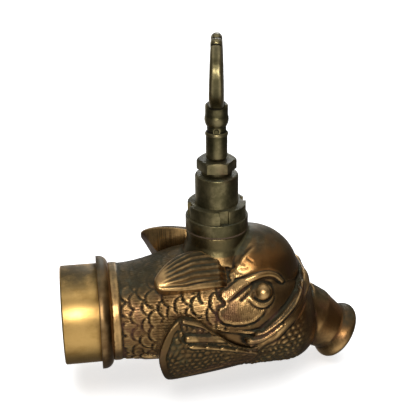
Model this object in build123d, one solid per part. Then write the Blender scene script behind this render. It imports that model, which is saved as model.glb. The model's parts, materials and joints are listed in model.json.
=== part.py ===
from build123d import *
import math
import os

# Fish-head spout valve. Millimetres. The origin is the centre of the inlet mouth,
# +X runs along the neck towards the snout, +Z runs up the valve stem.

# Inlet sleeve: slips over a 2-inch pipe, 60.3 mm outside
pipe_fit_radius = 30.2
socket_depth = 20.0
sleeve_radius = 33.5
sleeve_length = 24.5
spigot_radius = 29.0
spigot_length = 11.5
mouth_chamfer = 0.8

# Collar ring shrunk on the front end of the casting
collar_width = 8.0
collar_radius = 38.4
collar_round = 6.4
collar_seat_radius = 31.5

# Casting. Each neck oval is a share of the way to the head, a rise, a half width and a
# half height; each head oval has its distance past the stem instead of the share.
band_radius = 33.5
band_width = 5.0
stem_x = 106.0
head_start = 16.0
passage_radius = 26.5
brazing_gap = 0.05
washer_hole_gap = 0.1
spigot_end_gap = 0.3
funnel_start = 50.0
neck_ovals = [
    (0.0, 0.0, 32.5, 32.7),
    (0.24, 0.0, 33.5, 33.8),
    (0.47, 0.5, 35.5, 36.2),
    (0.71, 1.0, 38.5, 39.5),
    (1.0, 0.5, 41.5, 43.0),
]
head_ovals = [
    (0.0, 0.0, 43.0, 44.0),
    (16.0, 0.0, 43.0, 44.5),
    (32.0, -1.5, 41.5, 43.0),
    (44.0, -5.0, 38.0, 40.0),
    (54.0, -9.6, 33.0, 34.6),
    (62.0, -12.8, 26.5, 26.3),
    (67.0, -15.0, 19.0, 18.5),
    (69.5, -17.2, 10.5, 10.7),
]
head_reach = 70.0

# Boss and valve chamber in the casting
boss_radius = 20.3
boss_top = 58.8
boss_foot_radius = 24.5
boss_foot_top = 50.0
boss_foot_height = 10.0
chamber_radius = 18.5
chamber_floor = 8.0
chamber_overlap = 2.0
boss_thread_radius = 16.5
boss_thread_depth = 12.0
lower_bore_radius = 17.0
lower_bore_drop = 21.0
lower_bore_start = 22.0
outlet_radius = 13.0
outlet_rise = 22.0
outlet_turn_level = 25.5
outlet_start_level = 31.0
elbow_ease = 0.5

# Snout: turned shape on an axis that points forward and down
snout_angle = 34.8
snout_reach = 89.6
snout_drop = 33.0
snout_root_radius = 21.0
snout_groove_radius = 17.2
lip_radius = 20.5
lip_length = 10.7
lip_edge_radius = 18.4
snout_length = 27.0
snout_buried_length = 14.0
snout_waist_radius = 18.6
snout_waist_reach = 9.0
lip_shoulder_radius = 19.8
lip_shoulder_reach = 4.0
lip_crown_reach = 7.5

# Forehead dome, gill band and eyes
dome_reach = 21.0
dome_height = 20.0
dome_half_length = 36.0
dome_half_width = 32.0
dome_half_height = 37.0
gill_angle = 32.7
gill_reach = 37.0
gill_level = 8.4
gill_width = 6.5
gill_length = 56.0
gill_proud = 4.0
gill_span = 120.0
eye_reach = 26.0
eye_radius = 6.0
eye_side = 32.6
eye_level = 24.4

# Fins: leaves that stand away from the neck towards the inlet. The two upper ones differ:
# the left one is broader and lies lower. Each upper fin oval has its distance from the
# tip, an angle up from the side, a radius, and its shares of the half width and half
# thickness. The lower fin's outline is in distance from the tip and level.
right_fin_tip = 46.0
right_fin_half_width = 14.8
right_fin_ovals = [
    (0.0, 47.5, 53.2, 0.11, 0.24),
    (2.0, 48.0, 53.0, 0.34, 0.48),
    (6.0, 49.8, 52.6, 0.54, 0.68),
    (13.0, 53.0, 51.6, 0.76, 0.88),
    (25.0, 56.5, 49.6, 0.95, 1.0),
    (36.0, 58.9, 47.6, 1.0, 1.0),
    (48.0, 61.5, 45.4, 1.0, 1.0),
]
left_fin_tip = 48.5
left_fin_half_width = 17.0
left_fin_ovals = [
    (0.0, 43.0, 54.0, 0.2, 0.26),
    (2.0, 43.2, 53.8, 0.42, 0.48),
    (6.0, 44.0, 53.2, 0.62, 0.68),
    (13.0, 46.5, 52.0, 0.82, 0.88),
    (26.0, 51.0, 49.8, 0.97, 1.0),
    (38.0, 55.5, 47.6, 1.0, 1.0),
    (50.5, 59.5, 45.4, 1.0, 1.0),
]
upper_fin_half_thickness = 5.0
lower_fin_tip = 46.0
lower_fin_radius = 51.4
lower_fin_root_radius = 44.0
lower_fin_thickness = 4.6
lower_fin_root = 30.0
lower_fin_depth = 70.0
lower_fin_belly = 0.45
lower_fin_outline = [
    (32.0, 8.5),
    (14.0, 16.6),
    (6.0, 8.6),
    (0.3, -8.0),
    (2.5, -24.0),
    (9.0, -37.5),
    (20.0, -39.5),
    (45.0, -34.0),
]
lower_fin_root_levels = (-2.5, -28.0)

# Valve seat
seat_hole_radius = 10.5
seat_thread_radius = 13.5
seat_flange_radius = 16.0
seat_flange_height = 3.0
seat_lip_radius = 12.5
seat_lip_height = 1.0
seat_thread_length = 10.5

# Valve disc, its washer and its nuts
seat_gap = 0.1
washer_radius = 13.0
washer_height = 3.0
disc_radius = 13.6
disc_height = 4.0
disc_boss_radius = 8.0
disc_boss_height = 10.0
disc_stud_radius = 3.0
disc_stud_end = 1.0
disc_nut_height = 3.0
disc_nut_flats = 10.0
socket_radius = 5.5
button_radius = 5.3
button_height = 3.0
button_play = 0.1
swivel_nut_height = 4.5
spindle_neck_radius = 3.4
spindle_neck_rise = 1.0

# Bonnet
gasket_height = 1.2
gasket_radius = 20.4
flange_radius = 20.8
flange_height = 8.2
flange_round = 0.8
spanner_collar_radius = 19.3
spanner_collar_height = 8.7
spanner_slot_width = 6.0
spanner_slot_depth = 2.4
spanner_slot_count = 4
spanner_slot_turn = 6.0
bonnet_radius = 14.2
bonnet_height = 20.3
bonnet_round = 1.6
thread_gap = 0.05
running_gap = 0.05

# Spindle and its packing
spindle_radius = 5.0
spindle_thread_radius = 6.0
spindle_thread_bottom = 44.0
spindle_thread_top = 70.0
relief_gap = 0.6
guide_bottom = 80.0
packing_floor = 84.0
packing_radius = 8.6
packing_ring_height = 2.6
packing_count = 3
follower_height = 3.0
follower_gap = 0.1
gland_neck_radius = 10.0
gland_neck_gap = 0.4
gland_hex_bottom = 100.5
gland_top = 107.5
gland_flats = 22.6
gland_turn = -7.0
gland_round = 1.8

# Handle
handle_bottom = 108.0
handle_turn = -10.0
hub_radius = 7.0
hub_top = 123.0
bead_level = 124.6
bead_radius = 7.5
bead_height = 3.0
bead_round = 1.35
neck_step = 0.8
ball_level = 134.4
ball_radius = 7.8
cup_radius = 7.3
cup_bottom = 137.5
cup_top = 144.3
cup_round = 1.2
spindle_end_radius = 4.5
spindle_end_top = 131.0
spindle_end_gap = 0.4
pin_level = 127.4
pin_radius = 1.3
pin_length = 13.4
bow_bottom = 142.4
bow_height = 45.2
bow_half_width = 25.0
bow_thickness = 5.6
bow_foot_width = 9.7
bow_top_width = 6.8
bow_round = 2.2
knuckle_radius = 3.7
knuckle_spread = 19.0
knuckle_inset = 2.5

# Levels and places worked out from the sizes above
collar_end = sleeve_length + collar_width
band_end = collar_end + band_width
seat_top = chamber_floor + seat_flange_height + seat_lip_height
washer_bottom = seat_top + seat_gap
disc_bottom = washer_bottom + washer_height
disc_top = disc_bottom + disc_height
button_bottom = disc_top + button_play
button_top = button_bottom + button_height
disc_boss_top = disc_top + disc_boss_height
flange_bottom = boss_top + gasket_height
flange_top = flange_bottom + flange_height
spanner_collar_top = flange_top + spanner_collar_height
bonnet_top = spanner_collar_top + bonnet_height
bonnet_thread_bottom = boss_top - boss_thread_depth
follower_bottom = packing_floor + packing_count * packing_ring_height
gland_thread_bottom = follower_bottom + follower_height
rim_x = stem_x + snout_reach
bow_center = bow_bottom + bow_height / 2


def on_stem(shape, level=0.0):
    """Moves a shape onto the stem axis with its base at a level."""
    return Pos(stem_x, 0, level) * shape


def post(radius, bottom, top):
    """Upright cylinder on the stem axis."""
    low = (Align.CENTER, Align.CENTER, Align.MIN)
    return on_stem(Cylinder(radius, top - bottom, align=low), bottom)


def ring(outer, inner, bottom, top):
    """Upright tube on the stem axis."""
    return post(outer, bottom, top) - post(inner, bottom, top)


def rod(radius, start, end, level=0.0):
    """Cylinder along X."""
    low = (Align.CENTER, Align.CENTER, Align.MIN)
    return Pos(start, 0, level) * Rot(0, 90, 0) * Cylinder(radius, end - start, align=low)


def cross_section(x, rise, half_width, half_height):
    """Upright oval across the neck or the head."""
    plane = Plane(origin=(x, 0, rise), x_dir=(0, 1, 0), z_dir=(1, 0, 0))
    return plane * Ellipse(half_width, half_height)


def head_form(grow=0.0):
    """Neck, cheeks and chin as one smooth form through ovals."""
    neck_length = stem_x - head_start - band_end
    ovals = []
    for share, rise, half_width, half_height in neck_ovals:
        x = band_end + share * neck_length
        ovals.append(cross_section(x, rise, half_width + grow, half_height + grow))
    for reach, rise, half_width, half_height in head_ovals:
        x = stem_x + reach + grow * reach / head_reach
        ovals.append(cross_section(x, rise, half_width + grow, half_height + grow))
    return loft(ovals)


def forehead():
    """Rounded dome above the eyes."""
    stretch = (dome_half_length, dome_half_width, dome_half_height)
    ball = Rot(90, 0, 0) * Sphere(1)
    return Pos(stem_x + dome_reach, 0, dome_height) * scale(ball, by=stretch)


def snout_place(shape):
    """Turns a shape made along +Z onto the snout axis, with z = 0 at the rim."""
    return Pos(rim_x, 0, -snout_drop) * Rot(0, 90 + snout_angle, 0) * shape


def snout():
    """Tapered snout with a rolled lip."""
    root = -snout_length
    groove = -lip_length
    waist = (snout_waist_radius, root + snout_waist_reach)
    taper = Spline((snout_root_radius, root), waist, (snout_groove_radius, groove))
    swell = Spline(
        (snout_groove_radius, groove),
        (lip_shoulder_radius, groove + lip_shoulder_reach),
        (lip_radius, groove + lip_crown_reach),
        (lip_edge_radius, 0.0),
    )
    back = root - snout_buried_length
    edges = [taper, swell]
    edges.append(Line((lip_edge_radius, 0), (0, 0)))
    edges.append(Line((0, 0), (0, back)))
    edges.append(Line((0, back), (snout_root_radius, back)))
    edges.append(Line((snout_root_radius, back), (snout_root_radius, root)))
    outline = make_face(Plane.XZ * Curve(edges))
    return snout_place(revolve(outline, Axis.Z))


def gill_band():
    """Raised band that crosses the head behind the snout and dies out in the cheeks."""
    slab = Box(gill_length, gill_span, gill_width)
    place = Pos(stem_x + gill_reach, 0, gill_level) * Rot(0, -gill_angle, 0)
    return head_form(gill_proud) & (place * slab)


def boss():
    """Round boss for the bonnet, flared where it meets the head."""
    foot_bottom = boss_foot_top - boss_foot_height
    low = (Align.CENTER, Align.CENTER, Align.MIN)
    foot = on_stem(Cone(boss_foot_radius, boss_radius, boss_foot_height, align=low), foot_bottom)
    return post(boss_radius, 0, boss_top) + foot


def eyes():
    """A ball in each cheek."""
    ball = Rot(0, 90, 0) * Sphere(eye_radius)
    left = Pos(stem_x + eye_reach, eye_side, eye_level) * ball
    return left + Pos(stem_x + eye_reach, -eye_side, eye_level) * ball


def lower_way():
    """Water way from the neck to the space under the seat."""
    counterbore_end = sleeve_length + spigot_length + spigot_end_gap
    counterbore = rod(spigot_radius + brazing_gap, sleeve_length, counterbore_end)
    neck_end = stem_x - funnel_start
    neck_bore = rod(passage_radius, sleeve_length, neck_end)
    start = Plane(origin=(neck_end, 0, 0), x_dir=(0, 1, 0), z_dir=(1, 0, 0))
    finish_x = stem_x - lower_bore_start
    finish = Plane(origin=(finish_x, 0, -lower_bore_drop), x_dir=(0, 1, 0), z_dir=(1, 0, 0))
    funnel = loft([start * Circle(passage_radius), finish * Circle(lower_bore_radius)])
    bore = rod(lower_bore_radius, finish_x, stem_x, -lower_bore_drop)
    ball = Rot(0, 45, 0) * Sphere(lower_bore_radius + elbow_ease)
    end = Pos(stem_x, 0, -lower_bore_drop) * ball
    rise = post(seat_thread_radius + thread_gap, -lower_bore_drop, chamber_floor)
    return counterbore + neck_bore + funnel + bore + end + rise


def upper_way():
    """Valve chamber and the curved way down to the mouth."""
    chamber = post(chamber_radius, chamber_floor, bonnet_thread_bottom + chamber_overlap)
    thread = post(boss_thread_radius + thread_gap, bonnet_thread_bottom, boss_top)
    turn = (stem_x + outlet_rise, 0, outlet_turn_level)
    reach = snout_length * math.cos(math.radians(snout_angle))
    fall = snout_length * math.sin(math.radians(snout_angle))
    root = (rim_x - reach, 0, -snout_drop + fall)
    leg = bore_between((stem_x, 0, outlet_start_level), turn)
    drop = bore_between(turn, root)
    mouth = bore_between(root, (rim_x + reach, 0, -snout_drop - fall))
    return chamber + thread + leg + drop + mouth


def bore_between(start, end):
    """Round-ended bore from one point to another."""
    path = Vector(*end) - Vector(*start)
    plane = Plane(origin=start, z_dir=path.normalized())
    straight = extrude(plane * Circle(outlet_radius), path.length)
    return straight + plane * Sphere(outlet_radius + elbow_ease)


def casting_outside():
    """Outer form of the casting, before the water ways are cut."""
    seat = rod(collar_seat_radius, sleeve_length, collar_end)
    band = rod(band_radius, collar_end, band_end)
    form = head_form() + seat + band + forehead() + boss() + snout()
    return form + gill_band() + eyes()


def fin_shell(tip_x, tip_radius, root_radius, thickness, root_x):
    """Turned shell that flares away from the head towards the inlet."""
    drop = tip_radius - root_radius
    middle = (tip_x + root_x) / 2
    outside = Spline(
        (tip_x, 0, tip_radius),
        (middle, 0, root_radius + lower_fin_belly * drop),
        (root_x, 0, root_radius),
    )
    close = Polyline(
        (root_x, 0, root_radius),
        (root_x, 0, root_radius - 2 * thickness),
        (middle, 0, root_radius + lower_fin_belly * drop - 1.3 * thickness),
        (tip_x, 0, tip_radius - 0.7 * thickness),
        (tip_x, 0, tip_radius),
    )
    return revolve(make_face([outside, close]), Axis.X)


def leaf(points):
    """Closed outline: a smooth edge round the tip and a straight root."""
    edge = Spline(*points)
    root = Line(points[-1], points[0])
    return make_face([edge, root])


def upper_fin(tip, full, ovals):
    """Ear-like fin on the +Y shoulder, before the head is cut away."""
    thick = upper_fin_half_thickness
    sections = []
    for reach, angle, radius, width_share, thick_share in ovals:
        across = math.cos(math.radians(angle))
        up = math.sin(math.radians(angle))
        place = (stem_x - tip + reach, radius * across, radius * up)
        plane = Plane(origin=place, x_dir=(0, -up, across), z_dir=(1, 0, 0))
        sections.append(plane * Ellipse(width_share * full, thick_share * thick))
    return loft(sections)


def lower_fin():
    """Broad fin on the +Y side of the throat, before the head is cut away."""
    tip = stem_x - lower_fin_tip
    root = stem_x + lower_fin_root
    shell = fin_shell(tip, lower_fin_radius, lower_fin_root_radius, lower_fin_thickness, root)
    top_level, low_level = lower_fin_root_levels
    edge = [(tip + reach, level) for reach, level in lower_fin_outline]
    outline = leaf([(root, top_level), *edge, (root, low_level)])
    side = Plane(origin=(0, 0, 0), x_dir=(1, 0, 0), z_dir=(0, -1, 0))
    block = extrude(side * outline, -lower_fin_depth)
    return shell & block


def inlet_sleeve():
    """Turned sleeve: pipe socket outside, spigot brazed into the casting."""
    tube = rod(sleeve_radius, 0, sleeve_length)
    tube = chamfer(tube.edges().group_by(Axis.X)[0], mouth_chamfer)
    spigot = rod(spigot_radius, sleeve_length, sleeve_length + spigot_length)
    socket = rod(pipe_fit_radius, 0, socket_depth)
    passage = rod(passage_radius, 0, sleeve_length + spigot_length)
    return tube + spigot - socket - passage


def collar_ring():
    """Ring with a flat face to the inlet and a rounded back."""
    solid = rod(collar_radius, sleeve_length, collar_end)
    solid = fillet(solid.edges().group_by(Axis.X)[-1], collar_round)
    return solid - rod(collar_seat_radius + brazing_gap, sleeve_length, collar_end)


def valve_seat():
    """Screwed seat with a flange and a narrow raised lip."""
    body = post(seat_thread_radius, chamber_floor - seat_thread_length, chamber_floor)
    flange = post(seat_flange_radius, chamber_floor, chamber_floor + seat_flange_height)
    lip = post(seat_lip_radius, chamber_floor + seat_flange_height, seat_top)
    hole = post(seat_hole_radius, chamber_floor - seat_thread_length, seat_top)
    return body + flange + lip - hole


def valve_disc():
    """Disc with a socket above for the spindle foot and a stud below for the washer."""
    stud = post(disc_stud_radius, washer_bottom - disc_nut_height - disc_stud_end, disc_bottom)
    plate = post(disc_radius, disc_bottom, disc_top)
    socket = post(disc_boss_radius, disc_top, disc_boss_top)
    return stud + plate + socket - post(socket_radius, disc_top, disc_boss_top)


def disc_nut():
    """Small hexagon nut under the washer."""
    hexagon = RegularPolygon(disc_nut_flats / 2, 6, major_radius=False)
    solid = extrude(on_stem(hexagon, washer_bottom - disc_nut_height), disc_nut_height)
    hole = post(disc_stud_radius + thread_gap, washer_bottom - disc_nut_height, washer_bottom)
    return solid - hole


def swivel_nut():
    """Ring screwed into the disc socket, over the spindle's button."""
    bottom = button_top + button_play
    inner = spindle_neck_radius + running_gap
    return ring(socket_radius - thread_gap, inner, bottom, bottom + swivel_nut_height)


def bonnet():
    """Screwed bonnet: flange, slotted spanner collar and packing barrel."""
    thread = post(boss_thread_radius, bonnet_thread_bottom, flange_bottom)
    flange = post(flange_radius, flange_bottom, flange_top)
    flange = fillet(flange.edges().group_by(Axis.Z)[-1], flange_round)
    collar = post(spanner_collar_radius, flange_top, spanner_collar_top)
    barrel = post(bonnet_radius, spanner_collar_top, bonnet_top)
    barrel = fillet(barrel.edges().group_by(Axis.Z)[-1], bonnet_round)
    solid = thread + flange + (collar - spanner_slots()) + barrel
    solid -= post(spindle_thread_radius + running_gap, bonnet_thread_bottom, spindle_thread_top)
    solid -= post(spindle_thread_radius + relief_gap, spindle_thread_top, guide_bottom)
    solid -= post(spindle_radius + running_gap, guide_bottom, packing_floor)
    return solid - post(packing_radius, packing_floor, bonnet_top)


def spanner_slots():
    """Slots cut down the spanner collar."""
    size = (spanner_slot_depth * 2, spanner_slot_width, spanner_collar_height)
    low = (Align.CENTER, Align.CENTER, Align.MIN)
    tool = Pos(spanner_collar_radius, 0, 0) * Box(*size, align=low)
    slots = Part()
    for number in range(spanner_slot_count):
        turn = -90 + spanner_slot_turn + number * 360 / spanner_slot_count
        slots += on_stem(Rot(0, 0, turn) * tool, flange_top)
    return slots


def gland_nut():
    """Hexagon nut that presses on the packing."""
    thread = post(packing_radius - thread_gap, gland_thread_bottom, gland_hex_bottom)
    neck = post(gland_neck_radius, bonnet_top + gland_neck_gap, gland_hex_bottom)
    hexagon = RegularPolygon(gland_flats / 2, 6, major_radius=False)
    turned = Rot(0, 0, gland_turn) * hexagon
    block = extrude(on_stem(turned, gland_hex_bottom), gland_top - gland_hex_bottom)
    corner = gland_flats / math.sqrt(3)
    disc = post(corner, gland_hex_bottom, gland_top)
    dome = fillet(disc.edges().group_by(Axis.Z)[-1], gland_round)
    solid = thread + neck + (block & dome)
    return solid - post(spindle_radius + running_gap, gland_thread_bottom, gland_top)


def spindle():
    """Valve spindle: button foot, thread, plain shank and pinned end."""
    button = post(button_radius, button_bottom, button_top)
    neck_top = disc_boss_top + spindle_neck_rise
    neck = post(spindle_neck_radius, button_top, neck_top)
    shank = post(spindle_radius, neck_top, handle_bottom)
    thread = post(spindle_thread_radius, spindle_thread_bottom, spindle_thread_top)
    end = post(spindle_end_radius, handle_bottom, spindle_end_top)
    return button + neck + shank + thread + end - pin_hole()


def pin_rod(radius, length):
    """Cross pin through the hub, in the plane of the bow."""
    lying = Rot(90, 0, 0) * Cylinder(radius, length)
    return on_stem(Rot(0, 0, handle_turn) * lying, pin_level)


def pin_hole():
    """Hole for the cross pin."""
    return pin_rod(pin_radius + brazing_gap, 3 * hub_radius)


def bow():
    """Ring handle: a strap bent round an oval, narrower towards the top."""
    outer = Ellipse(bow_half_width, bow_height / 2)
    inner = Ellipse(bow_half_width - bow_thickness, bow_height / 2 - bow_thickness)
    plane = Plane(origin=(0, 0, bow_center), x_dir=(0, 1, 0), z_dir=(1, 0, 0))
    strap = extrude(plane * (outer - inner), bow_foot_width / 2, both=True)
    top = bow_bottom + bow_height
    sides = Polyline(
        (-bow_foot_width / 2, 0, bow_bottom),
        (bow_foot_width / 2, 0, bow_bottom),
        (bow_top_width / 2, 0, top),
        (-bow_top_width / 2, 0, top),
        close=True,
    )
    wedge = extrude(make_face(sides), 2 * bow_half_width, both=True)
    strap = strap & wedge
    return fillet(strap.edges(), bow_round)


def knuckles():
    """Three beads over the crown of the bow."""
    beads = Part()
    across = bow_half_width - knuckle_inset
    up = bow_height / 2 - knuckle_inset
    for turn in (-knuckle_spread, 0, knuckle_spread):
        angle = math.radians(turn)
        place = (0, across * math.sin(angle), bow_center + up * math.cos(angle))
        beads += Pos(*place) * Sphere(knuckle_radius)
    return beads


def handle():
    """Cast handle: hub, bead, ball, cup and bow."""
    low = (Align.CENTER, Align.CENTER, Align.MIN)
    solid = Pos(0, 0, handle_bottom) * Cylinder(hub_radius, hub_top - handle_bottom, align=low)
    core_height = cup_bottom - hub_top
    solid += Pos(0, 0, hub_top) * Cylinder(hub_radius - neck_step, core_height, align=low)
    bead = Cylinder(bead_radius, bead_height)
    solid += Pos(0, 0, bead_level) * fillet(bead.edges(), bead_round)
    solid += Pos(0, 0, ball_level) * Sphere(ball_radius)
    cup = Pos(0, 0, cup_bottom) * Cylinder(cup_radius, cup_top - cup_bottom, align=low)
    solid += fillet(cup.edges().group_by(Axis.Z)[-1], cup_round)
    solid += bow() + knuckles()
    solid = on_stem(Rot(0, 0, handle_turn) * solid)
    solid -= post(spindle_end_radius + brazing_gap, handle_bottom, spindle_end_top + spindle_end_gap)
    return solid - pin_hole()


def mirrored(shape):
    """The same shape on the other side of the head."""
    return mirror(shape, Plane.XZ)


def save(name, shape):
    """Writes one node."""
    shape.label = name
    export_step(shape, "parts/" + name + ".step")


def build():
    """Makes every piece and writes it."""
    os.makedirs("parts", exist_ok=True)
    outside = casting_outside()
    left = upper_fin(left_fin_tip, left_fin_half_width, left_fin_ovals) - outside
    right = upper_fin(right_fin_tip, right_fin_half_width, right_fin_ovals) - outside
    lower = lower_fin() - outside
    save("body_casting", outside - lower_way() - upper_way())
    save("upper_fin_left", left)
    save("upper_fin_right", mirrored(right))
    save("lower_fin_left", lower)
    save("lower_fin_right", mirrored(lower))
    save("inlet_sleeve", inlet_sleeve())
    save("collar_ring", collar_ring())
    save("valve_seat", valve_seat())
    save("bonnet_gasket", ring(gasket_radius, boss_thread_radius + washer_hole_gap, boss_top, flange_bottom))
    save("bonnet", bonnet())
    shank_hole = spindle_radius + running_gap
    packing_outer = packing_radius - running_gap
    for number, name in enumerate(["lower", "middle", "upper"]):
        bottom = packing_floor + number * packing_ring_height
        packing = ring(packing_outer, shank_hole, bottom, bottom + packing_ring_height)
        save("packing_ring_" + name, packing)
    follower_outer = packing_radius - follower_gap
    follower = ring(follower_outer, shank_hole, follower_bottom, gland_thread_bottom)
    save("gland_follower", follower)
    save("gland_nut", gland_nut())
    save("valve_disc", valve_disc())
    save("disc_washer", ring(washer_radius, disc_stud_radius + washer_hole_gap, washer_bottom, disc_bottom))
    save("disc_nut", disc_nut())
    save("swivel_nut", swivel_nut())
    save("spindle", spindle())
    save("handle", handle())
    save("handle_pin", pin_rod(pin_radius, pin_length))


if __name__ == "__main__":
    build()
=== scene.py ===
import json
import math

import bmesh
import bpy
import numpy as np
from mathutils import Matrix, Vector, noise
from mathutils.bvhtree import BVHTree

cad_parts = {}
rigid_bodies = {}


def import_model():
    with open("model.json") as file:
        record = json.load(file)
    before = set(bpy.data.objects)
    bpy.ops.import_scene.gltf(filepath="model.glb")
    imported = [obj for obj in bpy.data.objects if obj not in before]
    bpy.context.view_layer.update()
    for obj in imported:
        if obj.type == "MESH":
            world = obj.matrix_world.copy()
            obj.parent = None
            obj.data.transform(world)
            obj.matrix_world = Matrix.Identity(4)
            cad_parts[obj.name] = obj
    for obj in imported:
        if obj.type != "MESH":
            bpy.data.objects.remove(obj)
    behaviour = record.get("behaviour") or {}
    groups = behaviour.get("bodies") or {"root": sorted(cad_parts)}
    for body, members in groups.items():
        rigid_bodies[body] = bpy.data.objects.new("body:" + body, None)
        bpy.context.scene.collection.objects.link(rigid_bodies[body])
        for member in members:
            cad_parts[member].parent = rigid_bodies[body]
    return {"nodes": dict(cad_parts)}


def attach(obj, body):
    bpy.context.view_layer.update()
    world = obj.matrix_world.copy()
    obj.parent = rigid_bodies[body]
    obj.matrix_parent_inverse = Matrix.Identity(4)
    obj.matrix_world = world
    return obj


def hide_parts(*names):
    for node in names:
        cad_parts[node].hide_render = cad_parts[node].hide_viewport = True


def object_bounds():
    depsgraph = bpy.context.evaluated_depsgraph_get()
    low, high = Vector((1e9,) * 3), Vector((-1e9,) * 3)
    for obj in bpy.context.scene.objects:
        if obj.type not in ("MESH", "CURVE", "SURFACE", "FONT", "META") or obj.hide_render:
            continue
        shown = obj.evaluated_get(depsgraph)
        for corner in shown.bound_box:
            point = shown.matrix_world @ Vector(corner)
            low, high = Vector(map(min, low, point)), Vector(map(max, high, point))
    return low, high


bl_info = {
    "name": "Fish-head spout valve",
    "version": (1, 0, 0),
    "blender": (4, 5, 0),
    "location": "View3D > Sidebar > Spout",
    "description": "Models the castings, turned parts, patina and setting of a fish-head spout valve",
    "category": "Object",
}

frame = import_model()
CAD_LOW, CAD_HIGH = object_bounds()
MM = 0.001
# Places of the colour sockets on a Mix node, whose names repeat for each data type
MIX_SHARE, MIX_FIRST, MIX_SECOND, MIX_RESULT = 0, 6, 7, 2


# ---------------------------------------------------------------- shader maths


class Socket:
    """A node output that can be used in Python expressions."""

    def __init__(self, maker, link):
        self.maker = maker
        self.link = link

    def maths(self, operation, *values):
        return self.maker.node("ShaderNodeMath", {"operation": operation}, list(values))

    def __add__(self, other):
        return self.maths("ADD", self, other)

    def __radd__(self, other):
        return self.maths("ADD", other, self)

    def __sub__(self, other):
        return self.maths("SUBTRACT", self, other)

    def __rsub__(self, other):
        return self.maths("SUBTRACT", other, self)

    def __mul__(self, other):
        return self.maths("MULTIPLY", self, other)

    def __rmul__(self, other):
        return self.maths("MULTIPLY", other, self)


class Finish:
    """Builds the node tree of one material."""

    def __init__(self, name):
        self.material = bpy.data.materials.new(name)
        self.material.use_nodes = True
        self.tree = self.material.node_tree
        self.shader = self.tree.nodes["Principled BSDF"]
        self.place = self.node("ShaderNodeTexCoord", {}, [], "Object")
        self.set(Specular_IOR_Level=0.25)

    def node(self, kind, settings, values, output=0):
        """Makes a node, sets it, then gives its inputs values or links."""
        made = self.tree.nodes.new(kind)
        for key, value in settings.items():
            setattr(made, key, value)
        pairs = values.items() if isinstance(values, dict) else enumerate(values)
        for key, value in pairs:
            self.feed(made.inputs[key], value)
        return Socket(self, made.outputs[output])

    def feed(self, target, value):
        """Gives one input a link or a value."""
        if isinstance(value, Socket):
            self.tree.links.new(value.link, target)
        elif isinstance(value, tuple) and len(value) == 3 and target.type == "RGBA":
            target.default_value = (*value, 1.0)
        else:
            target.default_value = value

    def set(self, **sockets):
        """Sets the shader's own sockets."""
        for name, value in sockets.items():
            self.feed(self.shader.inputs[name.replace("_", " ")], value)

    def attribute(self, name):
        return self.node("ShaderNodeAttribute", {"attribute_name": name}, [], "Fac")

    def grain(self, size, detail=4.0, rough=0.6, stretch=(1.0, 1.0, 1.0)):
        """Noise from 0 to 1 whose blobs are about size metres, stretched along an axis."""
        scaled = self.node("ShaderNodeMapping", {}, {"Vector": self.place, "Scale": stretch})
        values = {"Vector": scaled, "Scale": 1.0 / size, "Detail": detail, "Roughness": rough}
        return self.node("ShaderNodeTexNoise", {}, values)

    def curve(self, value, low, high):
        """0 below low, 1 above high, smooth between."""
        values = {"Value": value, "From Min": low, "From Max": high}
        return self.node("ShaderNodeMapRange", {"interpolation_type": "SMOOTHSTEP"}, values)

    def mix(self, share, first, second):
        """Colour mix."""
        values = {MIX_SHARE: share, MIX_FIRST: first, MIX_SECOND: second}
        return self.node("ShaderNodeMix", {"data_type": "RGBA"}, values, MIX_RESULT)

    def upward(self):
        """How far the surface faces up, -1 to 1."""
        normal = self.node("ShaderNodeNewGeometry", {}, [], "Normal")
        return self.node("ShaderNodeSeparateXYZ", {}, [normal], "Z")

    def place_part(self, axis):
        return self.node("ShaderNodeSeparateXYZ", {}, [self.place], axis)

    def bump(self, height, distance, strength=1.0):
        values = {"Height": height, "Distance": distance, "Strength": strength}
        self.set(Normal=self.node("ShaderNodeBump", {}, values))


class Sky(Finish):
    """Builds the light of the room by direction."""

    def __init__(self, world):
        world.use_nodes = True
        self.tree = world.node_tree
        self.shader = self.tree.nodes["Background"]
        self.place = self.node("ShaderNodeTexCoord", {}, [], "Generated")

    def glow(self, toward, edge):
        """Soft round glow around a direction."""
        length = math.sqrt(sum(part * part for part in toward))
        unit = tuple(part / length for part in toward)
        settings = {"operation": "DOT_PRODUCT"}
        facing = self.node("ShaderNodeVectorMath", settings, [self.place, unit], "Value")
        return self.curve(facing, edge, 1.0)


def deep_brass(finish, low, middle, high):
    """Brown to golden colour that follows rubbed areas, painted highlights and painted shade, raised edges
    and dirt in hollows.
    """
    # The rub attribute holds rubbed areas, painted highlights and painted shade.
    wear, rub_and_painted_light = finish.attribute("wear"), finish.attribute("rub_and_painted_light")
    cloud = finish.grain(0.012, 5.0, 0.62)
    speck = finish.grain(0.0024, 3.0, 0.7)
    rubbed_and_highlit = wear * 0.75 + rub_and_painted_light * 0.42 + (cloud - 0.5) * 1.1 + (speck - 0.5) * 0.4 + 0.4
    golden = finish.curve(rubbed_and_highlit, 0.38, 1.1)
    dark = 0.25 - wear * 1.1 - rub_and_painted_light * 0.12 + (cloud - 0.5) * 0.5
    hollow = finish.curve(dark, 0.3, 0.75)
    tone = finish.mix(golden, middle, high)
    return finish.mix(hollow, tone, low), golden, hollow


def film_and_top_shade(finish, reach, share):
    """Mask of the dull film and painted shade on faces that look up."""
    up = finish.curve(finish.upward(), reach, reach + 0.32)
    blotch = finish.curve(finish.grain(0.014, 5.0, 0.62), 0.25, 0.6)
    return up * (blotch * 0.5 + 0.5) * share


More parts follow.
